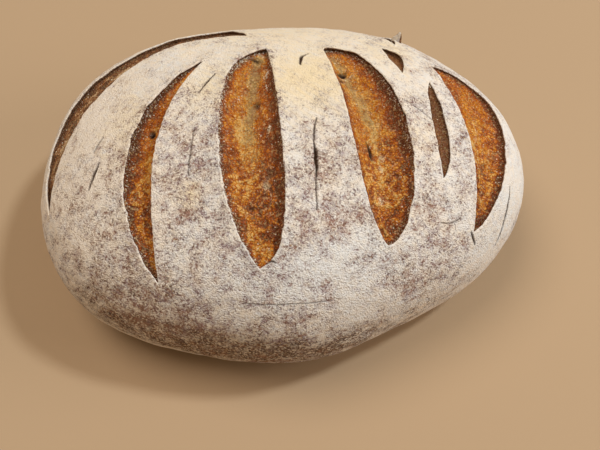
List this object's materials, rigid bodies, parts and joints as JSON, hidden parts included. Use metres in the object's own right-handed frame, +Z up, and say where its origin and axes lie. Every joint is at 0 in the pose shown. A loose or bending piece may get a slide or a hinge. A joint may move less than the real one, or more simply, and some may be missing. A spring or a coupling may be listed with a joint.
{
  "type": "sourdough loaf",
  "caption": "Oval hand-shaped sourdough loaf with a floured, cracked crust, a flat base to rest on, and slashes opened in the oven.",
  "frame": {"origin": "on the flat base, under the middle of the loaf's bounding box", "axes": "+X along the loaf, to the end with the widest end slash; +Y towards the back, where the slashes draw together; +Z up"},
  "size_m": [0.2558, 0.1905, 0.1],
  "materials": {
    "crust": "matte baked crust dusted with flour, red-brown and golden where the slashes opened"
  },
  "bodies": {
    "root": {"loaf": "crust"}
  },
  "joints": []
}
